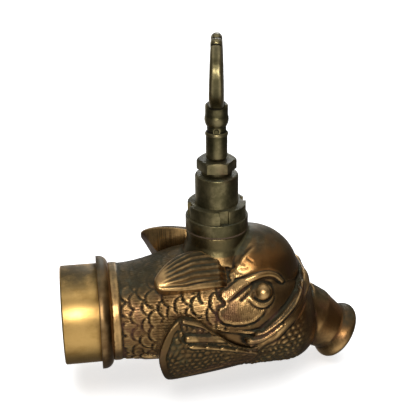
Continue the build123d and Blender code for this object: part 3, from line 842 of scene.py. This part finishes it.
def lower_fin_relief(points):
    """Uneven bumps inside a smooth border, under the strands; dark all over but for painted highlights on
    the strand tips.
    """
    x, y, z = points[:, 0] / MM, np.abs(points[:, 1]) / MM, points[:, 2] / MM
    edge_x = np.interp(z, [-39.0, -24.0, -8.0, 8.6, 16.6], [69.0, 62.5, 60.3, 66.0, 74.0])
    floor_z = np.interp(x, [60.0, 72.0, 80.0, 106.0], [-30.0, -37.0, -37.5, -30.0])
    inner = smooth_step(x - edge_x, 4.0, 5.2) * smooth_step(z - floor_z, 2.6, 4.0)
    turn = np.degrees(np.arctan2(z, y))
    dome = pebbles(points, x / 4.4, turn / 5.4)
    height = (-0.9 + 0.75 * dome) * inner
    lift = strands(x, z, 1.15)
    height = height * (1.0 - 0.5 * smooth_step(x, 104.0, 112.0))
    height = np.where(lift > 0.05, np.maximum(height, -0.7 + 1.5 * lift), height + np.minimum(lift, 0.0))
    route = bend(UPPER_STRAND)
    level = np.interp(x, [p[0] for p in route], [p[1] for p in route])
    sink = 3.8 * smooth_step(z - level, 1.2, 2.6) * smooth_step(x, 84.0, 92.0)
    sink = np.maximum(sink, 2.6 * smooth_step(x, 125.0, 135.0))
    # Painted highlights on the strand tips lighten the lower fin's strands.
    return height, -0.95 + 1.3 * strand_tip_highlights(x, z) + 0.35 * (lift > 0.3), sink


def web_to_neck(points, across, normals):
    """Carries the underside of a fin down into the neck, so that it stands on a web."""
    mesh = frame["nodes"]["body_casting"].data
    neck = BVHTree.FromPolygons([v.co for v in mesh.vertices], [p.vertices for p in mesh.polygons])
    under = (across * normals).sum(axis=1) < -0.1
    share = smooth_step(points[:, 0] / MM, 57.5, 70.0)
    for i in np.nonzero(under & (share > 0.0))[0]:
        start, inward = Vector(points[i]), Vector(-across[i])
        spot = neck.ray_cast(start, inward, 0.02)[0]
        if spot:
            points[i] += (np.array(spot) - 1.5 * MM * across[i] - points[i]) * share[i]
    return points


def build_fin(name, node, relief, tint, sizes, material):
    piece = copy_of(node, name)
    apply(piece, "REMESH", mode="VOXEL", voxel_size=sizes.fin_grain)
    even_out(piece, 0.5, 8)
    points, normals = points_of(piece.data), normals_of(piece.data)
    across = points.copy()
    across[:, 0] = 0.0
    across /= np.maximum(np.linalg.norm(across, axis=1), 1e-9)[:, None]
    facing = smooth_step((across * normals).sum(axis=1), 0.15, 0.5)
    height, rub_and_painted_light, sink = relief(points)
    move_out(piece, height * facing)
    moved = points_of(piece.data) - across * (sink * MM)[:, None]
    moved = web_to_neck(moved, across, normals) if relief is upper_fin_relief else moved
    piece.data.vertices.foreach_set("co", moved.ravel())
    piece.data.update()
    mark_wear(piece, 0.28, 5)
    # Faces that look in toward the neck get the darkest value: painted shade under the fins.
    rub_and_painted_light = np.where((across * normals).sum(axis=1) < 0.0, -1.0, np.clip(rub_and_painted_light, -1.0, 1.6))
    write_attribute(piece, "rub_and_painted_light", rub_and_painted_light)
    write_attribute(piece, "tint", np.full(len(rub_and_painted_light), tint))
    only(piece)
    bpy.ops.object.shade_smooth()
    settle(piece, "casting", [node], material)
    return piece


def build_turned(name, node, body, bevel, material):
    """A turned part with its sharp edges eased."""
    piece = copy_of(node, name)
    apply(piece, "BEVEL", width=bevel, segments=2, limit_method="ANGLE", angle_limit=math.radians(32))
    only(piece)
    bpy.ops.object.shade_smooth_by_angle(angle=math.radians(40))
    settle(piece, body, [node], material)
    return piece


def knuckle_grooves(points):
    """Depth of the grooves between the knuckles on top of the bow."""
    top = points[:, 2].max() / MM
    spot = points[np.argmax(points[:, 2])] / MM
    away = np.hypot(points[:, 0] / MM - spot[0], points[:, 1] / MM - spot[1])
    drop = top - points[:, 2] / MM
    depth = np.zeros(len(points))
    for place in (3.7, 11.2):
        depth += 0.8 * np.exp(-(((away - place) / 0.7) ** 2))
    return depth * (drop < 9.0)


def build_handle(sizes, material):
    piece = copy_of("handle", "ring_handle")
    apply(piece, "REMESH", mode="VOXEL", voxel_size=sizes.handle_grain)
    even_out(piece, 0.5, 5)
    points = points_of(piece.data)
    move_out(piece, 0.06 * lumps(points, 4.0, 8.0) - knuckle_grooves(points))
    mark_wear(piece, 0.12, 8)
    only(piece)
    bpy.ops.object.shade_smooth()
    settle(piece, "stem", ["handle"], material)
    return piece


def dress(node, material):
    """Gives a CAD node a finish."""
    target = frame["nodes"][node]
    if target.material_slots:
        for held in target.material_slots:
            held.material = material
    else:
        target.data.materials.append(material)


# ---------------------------------------------------------------- stage

WHITE = (1.0, 1.0, 1.0)
FLOOR_WIDTH = 60.0
CAMERA_PLACE = (0.02044, -0.53464, 0.32052)
CAMERA_YAW, CAMERA_PITCH, CAMERA_ROLL = -8.622, 24.779, -0.303
LENS_MM, SENSOR_MM = 77.14, 36.0


def aim(holder, spot):
    toward = (Vector(spot) - holder.location).normalized()
    holder.rotation_euler = toward.to_track_quat("-Z", "Y").to_euler()


def soft_light(name, place, spot, width, watts, colour):
    """A square light that faces a spot."""
    data = bpy.data.lights.new(name, "AREA")
    data.shape = "SQUARE"
    data.size = width
    data.energy = watts
    data.color = colour
    holder = bpy.data.objects.new(name, data)
    bpy.context.scene.collection.objects.link(holder)
    holder.location = place
    aim(holder, spot)
    return holder


def all_but_floor():
    """A collection of every piece, for a light that leaves the floor alone."""
    pieces = bpy.data.collections.new("all but the floor")
    for held in bpy.context.scene.objects:
        if held.type == "MESH" and held.name != "floor":
            pieces.objects.link(held)
    return pieces


def build_stage(look):
    """Wide pale floor, soft lights, plain room."""
    level = CAD_LOW.z - look.floor_gap
    clear_selection()
    bpy.ops.mesh.primitive_plane_add(size=1.0, location=(0, 0, 0))
    floor = bpy.context.active_object
    floor.name = "floor"
    bpy.ops.object.mode_set(mode="EDIT")
    bpy.ops.transform.resize(value=(FLOOR_WIDTH, FLOOR_WIDTH, 1.0))
    bpy.ops.transform.translate(value=(0.0, 0.0, level))
    bpy.ops.object.mode_set(mode="OBJECT")
    paper = Finish("pale paper")
    shade = paper.grain(0.3, 2.0, 0.5)
    paper.set(Base_Color=paper.mix(shade, (0.80, 0.80, 0.80), (0.84, 0.84, 0.84)), Roughness=0.9)
    paper.set(Emission_Color=WHITE, Emission_Strength=look.floor_glow)
    floor.data.materials.append(paper.material)
    floor.visible_glossy = False
    world = bpy.data.worlds.new("soft room")
    bpy.context.scene.world = world
    sky = Sky(world)
    front = sky.glow((0.05, -0.85, -0.5), 0.62)
    back = sky.glow((-0.1, 0.9, -0.1), 0.6)
    above = sky.glow((0.3, 0.2, 1.0), 0.5)
    light = look.room_light + front * look.front_glow + back * look.back_glow + above * look.top_glow
    seen = sky.node("ShaderNodeLightPath", {}, [], "Is Camera Ray")
    sky.set(Color=(1.0, 0.985, 0.96), Strength=light * (1.0 - seen) + seen * 0.95)
    bpy.context.scene.view_settings.view_transform = "Standard"
    middle = (0.1, 0.0, 0.04)
    key = soft_light("key", (0.0, -0.95, 0.56), middle, 0.24, look.key_light, (1.0, 0.97, 0.92))
    soft_light("top", (0.1, 0.15, 1.4), middle, 1.4, look.top_light, WHITE)
    back_light = soft_light("back", (0.35, 0.95, 0.45), middle, 0.3, look.back_light, (0.96, 0.98, 1.0))
    wash = soft_light("floor wash", (0.1, 0.3, 2.2), (0.1, 0.3, 0.0), 3.2, look.floor_light, WHITE)
    only_floor = bpy.data.collections.new("floor only")
    only_floor.objects.link(floor)
    wash.light_linking.receiver_collection = only_floor
    key.light_linking.receiver_collection = all_but_floor()
    back_light.light_linking.receiver_collection = key.light_linking.receiver_collection


def build_camera():
    """Camera above and a little to the inlet side, with a long lens."""
    place = Vector(CAMERA_PLACE)
    yaw, pitch, roll = (math.radians(turn) for turn in (CAMERA_YAW, CAMERA_PITCH, CAMERA_ROLL))
    ahead = Vector((-math.sin(yaw) * math.cos(pitch), math.cos(yaw) * math.cos(pitch), -math.sin(pitch)))
    level = Vector((math.cos(yaw), math.sin(yaw), 0.0))
    over = level.cross(ahead)
    right = level * math.cos(roll) + over * math.sin(roll)
    up = over * math.cos(roll) - level * math.sin(roll)
    data = bpy.data.cameras.new("camera")
    data.lens = LENS_MM
    data.sensor_width = SENSOR_MM
    data.clip_start, data.clip_end = 0.01, 50.0
    holder = bpy.data.objects.new("camera", data)
    bpy.context.scene.collection.objects.link(holder)
    turn = Matrix((right, up, -ahead)).transposed().to_4x4()
    holder.matrix_world = Matrix.Translation(place) @ turn
    bpy.context.scene.camera = holder


# ---------------------------------------------------------------- add-on


def colour(name, description, default):
    return bpy.props.FloatVectorProperty(
        name=name, description=description, subtype="COLOR", size=3, min=0.0, max=1.0, default=default
    )


def length(name, description, default):
    return bpy.props.FloatProperty(
        name=name, description=description, subtype="DISTANCE", unit="LENGTH", default=default, precision=5
    )


def power(name, description, default):
    return bpy.props.FloatProperty(name=name, description=description, default=default, min=0.0)


class SpoutColours(bpy.types.PropertyGroup):
    """Colours of the brass finishes."""

    hollow: colour("Hollows", "Dirt in the hollows", (0.014, 0.011, 0.006))
    patina: colour("Patina", "Brown patina", (0.175, 0.100, 0.040))
    amber: colour("Amber", "Amber patina of the forehead and mouth", (0.27, 0.115, 0.030))
    # Golden colour of rubbed edges and of painted highlights.
    rubbed_and_highlit: colour("Rubbed", "Golden rubbed edges", (0.64, 0.40, 0.165))
    blush: colour("Blush", "Reddish tint", (0.17, 0.075, 0.05))
    # Colour of the dull film and painted shade on faces that look up.
    film_and_shade: colour("Film", "Dark olive film on top", (0.030, 0.026, 0.011))
    pale_film: colour("Pale film", "Grey green film on top", (0.066, 0.070, 0.046))
    olive: colour("Olive", "Dull olive of the valve", (0.115, 0.100, 0.048))
    olive_gold: colour("Olive gold", "Lighter olive of the valve", (0.30, 0.25, 0.13))
    bright: colour("Bright brass", "Brushed socket", (0.72, 0.46, 0.16))
    bright_low: colour("Bright brass, low", "Darker brushed socket", (0.42, 0.235, 0.058))
    ring_gold: colour("Ring gold", "Golden brown of the ring", (0.36, 0.23, 0.105))


class SpoutSizes(bpy.types.PropertyGroup):
    """Grain of the modelled meshes."""

    casting_grain: length("Casting grain", "Spacing of the casting's mesh", 0.00074)
    fin_grain: length("Fin grain", "Spacing of the fins' mesh", 0.00055)
    handle_grain: length("Handle grain", "Spacing of the handle's mesh", 0.00042)
    edge_ease: length("Edge ease", "Rounding of turned edges", 0.00025)
    keep_share: bpy.props.FloatProperty(
        name="Hidden detail",
        description="Share of the mesh kept in the water ways",
        default=0.62,
        min=0.1,
        max=1.0,
    )


class SpoutLook(bpy.types.PropertyGroup):
    """Light and floor."""

    floor_gap: length("Floor gap", "Gap under the lowest point", 0.0005)
    floor_glow: power("Floor glow", "Glow of the paper floor", 0.7)
    floor_light: power("Floor light", "Power of the wash on the floor", 50.0)
    key_light: power("Key light", "Power of the front light", 6.0)
    top_light: power("Top light", "Power of the top light", 8.5)
    back_light: power("Back light", "Power of the back light", 2.5)
    room_light: power("Room light", "Strength of the room", 0.09)
    front_glow: power("Front glow", "Strength of the glow from the front", 0.8)
    back_glow: power("Back glow", "Strength of the glow from behind", 0.6)
    top_glow: power("Top glow", "Strength of the glow from above", 0.15)


class SPOUT_OT_castings(bpy.types.Operator):
    """Model the head casting and its four fins"""

    bl_idname = "spout.castings"
    bl_label = "Castings"

    def execute(self, context):
        scene = context.scene
        material = cast_brass(scene.spout_colours)
        build_casting(scene.spout_sizes, material)
        for side in ("left", "right"):
            upper, lower = "upper_fin_" + side, "lower_fin_" + side
            build_fin("ear_fin_" + side, upper, upper_fin_relief, -0.1, scene.spout_sizes, material)
            build_fin("throat_fin_" + side, lower, lower_fin_relief, -0.3, scene.spout_sizes, material)
        return {"FINISHED"}


class SPOUT_OT_turned(bpy.types.Operator):
    """Model the turned parts: socket, ring, bonnet and gland nut"""

    bl_idname = "spout.turned"
    bl_label = "Turned parts"

    def execute(self, context):
        colours, ease = context.scene.spout_colours, context.scene.spout_sizes.edge_ease
        olive = turned_brass(colours)
        build_turned("pipe_socket", "inlet_sleeve", "casting", ease, bright_brass(colours))
        build_turned("neck_ring", "collar_ring", "casting", ease, ring_brass(colours))
        build_turned("packing_bonnet", "bonnet", "casting", ease, olive)
        build_turned("packing_nut", "gland_nut", "casting", ease, olive)
        return {"FINISHED"}


class SPOUT_OT_handle(bpy.types.Operator):
    """Model the ring handle"""

    bl_idname = "spout.handle"
    bl_label = "Handle"

    def execute(self, context):
        material = handle_brass(context.scene.spout_colours)
        build_handle(context.scene.spout_sizes, material)
        dress("handle_pin", material)
        return {"FINISHED"}


class SPOUT_OT_inner(bpy.types.Operator):
    """Finish the parts inside the valve"""

    bl_idname = "spout.inner"
    bl_label = "Inner parts"

    def execute(self, context):
        metal, hide, cord = bronze(context.scene.spout_colours), leather(), braid()
        for node in ("valve_seat", "gland_follower", "valve_disc", "disc_nut", "swivel_nut", "spindle"):
            dress(node, metal)
        for node in ("bonnet_gasket", "disc_washer"):
            dress(node, hide)
        for node in ("packing_ring_lower", "packing_ring_middle", "packing_ring_upper"):
            dress(node, cord)
        return {"FINISHED"}


class SPOUT_OT_stage(bpy.types.Operator):
    """Make the floor, lights and camera"""

    bl_idname = "spout.stage"
    bl_label = "Stage"

    def execute(self, context):
        build_stage(context.scene.spout_look)
        build_camera()
        return {"FINISHED"}


class SPOUT_PT_panel(bpy.types.Panel):
    """Lists the steps and their settings"""

    bl_idname = "SPOUT_PT_panel"
    bl_label = "Fish-head spout valve"
    bl_space_type = "VIEW_3D"
    bl_region_type = "UI"
    bl_category = "Spout"

    def draw(self, context):
        for step in STEPS:
            self.layout.operator(step.bl_idname)
        for group in ("spout_sizes", "spout_colours", "spout_look"):
            held = getattr(context.scene, group)
            for key in held.__annotations__:
                self.layout.prop(held, key)


STEPS = [SPOUT_OT_castings, SPOUT_OT_turned, SPOUT_OT_handle, SPOUT_OT_inner, SPOUT_OT_stage]
CLASSES = [SpoutColours, SpoutSizes, SpoutLook, *STEPS, SPOUT_PT_panel]


def register():
    for held in CLASSES:
        bpy.utils.register_class(held)
    bpy.types.Scene.spout_colours = bpy.props.PointerProperty(type=SpoutColours)
    bpy.types.Scene.spout_sizes = bpy.props.PointerProperty(type=SpoutSizes)
    bpy.types.Scene.spout_look = bpy.props.PointerProperty(type=SpoutLook)


def unregister():
    for name in ("spout_colours", "spout_sizes", "spout_look"):
        delattr(bpy.types.Scene, name)
    for held in reversed(CLASSES):
        bpy.utils.unregister_class(held)


def main():
    register()
    bpy.ops.spout.castings()
    bpy.ops.spout.turned()
    bpy.ops.spout.handle()
    bpy.ops.spout.inner()
    bpy.ops.spout.stage()


if __name__ == "__main__":
    main()
